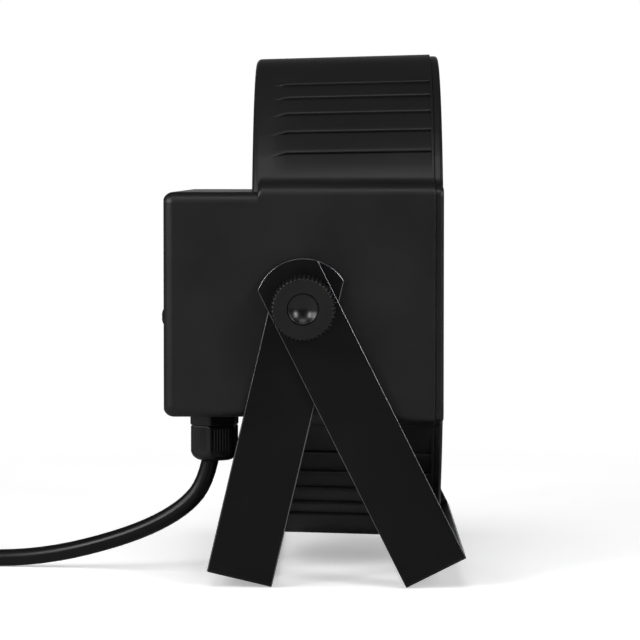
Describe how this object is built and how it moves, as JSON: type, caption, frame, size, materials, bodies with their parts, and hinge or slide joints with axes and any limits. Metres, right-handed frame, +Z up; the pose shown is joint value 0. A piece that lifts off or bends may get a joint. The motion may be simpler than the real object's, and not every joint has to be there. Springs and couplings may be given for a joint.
{
  "type": "par can light",
  "caption": "Flat LED par can with a louvred moulded head, a full-width rear box, a double yoke that is also its stand, two clamp knobs and a mains cord.",
  "frame": {"origin": "on the floor under the middle of the lamp, its cord not counted", "axes": "+X the way the light shines, +Y along the clamp axis, away from the side that the cable gland is on, +Z up"},
  "size_m": [0.3569, 0.292, 0.2425],
  "materials": {
    "housing_abs": "satin",
    "bezel_abs": "satin",
    "yoke_steel": "satin",
    "panel_steel": "satin",
    "knob_plastic": "satin",
    "cap_plastic": "gloss",
    "steel": "satin",
    "black_steel": "satin",
    "brass": "satin",
    "nylon": "satin",
    "rubber": "matte",
    "cord_pvc": "satin",
    "plug_plastic": "satin",
    "lens": "gloss",
    "window": "gloss",
    "board": "satin",
    "white_board": "satin",
    "emitter": "satin",
    "sink_aluminium": "satin",
    "zinc": "satin",
    "button_plastic": "satin",
    "fan_plastic": "satin",
    "core_steel": "satin"
  },
  "bodies": {
    "head": {"back_panel": "panel_steel", "bezel_screws": "black_steel", "control_board": "board", "display_module": "cap_plastic", "display_window": "window", "dmx_in_insert": "nylon", "dmx_in_pins": "brass", "dmx_in_shell": "zinc", "dmx_out_insert": "nylon", "dmx_out_shell": "zinc", "dmx_screws": "black_steel", "fan_frame": "fan_plastic", "fan_screws": "black_steel", "front_bezel": "bezel_abs", "gland_body": "nylon", "gland_cap_nut": "nylon", "gland_locknut": "nylon", "gland_seal": "rubber", "heat_sink": "sink_aluminium", "led_board": "white_board", "led_emitters": "emitter", "lens_plate": "lens", "main_housing": "housing_abs", "panel_screws": "black_steel", "pivot_inserts": "brass", "plug_pins": "brass", "power_capacitors": "cap_plastic", "power_cord": "cord_pvc", "power_cord_coil": "cord_pvc", "power_cord_tail": "cord_pvc", "power_plug": "plug_plastic", "power_supply_board": "board", "power_transformer": "core_steel", "tact_switches": "steel", "yoke_washers": "nylon"},
    "fan": {"fan_rotor": "fan_plastic"},
    "menu_key": {"menu_button": "button_plastic"},
    "down_key": {"down_button": "button_plastic"},
    "up_key": {"up_button": "button_plastic"},
    "enter_key": {"enter_button": "button_plastic"},
    "left_clamp": {"left_captive_washer": "steel"},
    "right_clamp": {"right_captive_washer": "steel"},
    "left_handle": {"left_knob": "knob_plastic", "left_knob_stud": "steel", "left_knob_cap": "cap_plastic"},
    "right_handle": {"right_knob": "knob_plastic", "right_knob_stud": "steel", "right_knob_cap": "cap_plastic"},
    "inner_leg": {"inner_yoke": "yoke_steel"},
    "outer_leg": {"outer_yoke": "yoke_steel"}
  },
  "joints": [
    {"name": "inner_yoke_swing", "type": "hinge", "parent": "head", "child": "inner_leg", "pos_m": [-0.00443, 0, 0.12607], "axis": [0, -1, 0], "range_deg": [-8.7, 26.3]},
    {"name": "outer_yoke_swing", "type": "hinge", "parent": "head", "child": "outer_leg", "pos_m": [-0.00443, 0, 0.12607], "axis": [0, -1, 0], "range_deg": [-48, 273]},
    {"name": "left_clamp_travel", "type": "slide", "parent": "head", "child": "left_clamp", "axis": [0, -1, 0], "range_m": [0, 0.0025]},
    {"name": "left_knob_turn", "type": "hinge", "parent": "left_clamp", "child": "left_handle", "pos_m": [-0.00443, 0, 0.12607], "axis": [0, -1, 0], "range_deg": [0, 720]},
    {"name": "right_clamp_travel", "type": "slide", "parent": "head", "child": "right_clamp", "axis": [0, 1, 0], "range_m": [0, 0.0025]},
    {"name": "right_knob_turn", "type": "hinge", "parent": "right_clamp", "child": "right_handle", "pos_m": [-0.00443, 0, 0.12607], "axis": [0, 1, 0], "range_deg": [0, 720]},
    {"name": "fan_spin", "type": "hinge", "parent": "head", "child": "fan", "pos_m": [-0.05833, 0, 0.12687], "axis": [1, 0, 0], "continuous": true},
    {"name": "menu_press", "type": "slide", "parent": "head", "child": "menu_key", "axis": [1, 0, 0], "range_m": [0, 0.001], "stiffness_N_per_m": 500, "springref_m": -0.001},
    {"name": "down_press", "type": "slide", "parent": "head", "child": "down_key", "axis": [1, 0, 0], "range_m": [0, 0.001], "stiffness_N_per_m": 500, "springref_m": -0.001},
    {"name": "up_press", "type": "slide", "parent": "head", "child": "up_key", "axis": [1, 0, 0], "range_m": [0, 0.001], "stiffness_N_per_m": 500, "springref_m": -0.001},
    {"name": "enter_press", "type": "slide", "parent": "head", "child": "enter_key", "axis": [1, 0, 0], "range_m": [0, 0.001], "stiffness_N_per_m": 500, "springref_m": -0.001}
  ],
  "couplings": [
    {"joint": "left_knob_turn", "follows": "left_clamp_travel", "rad_per_m": 5026.5},
    {"joint": "right_knob_turn", "follows": "right_clamp_travel", "rad_per_m": 5026.5}
  ]
}
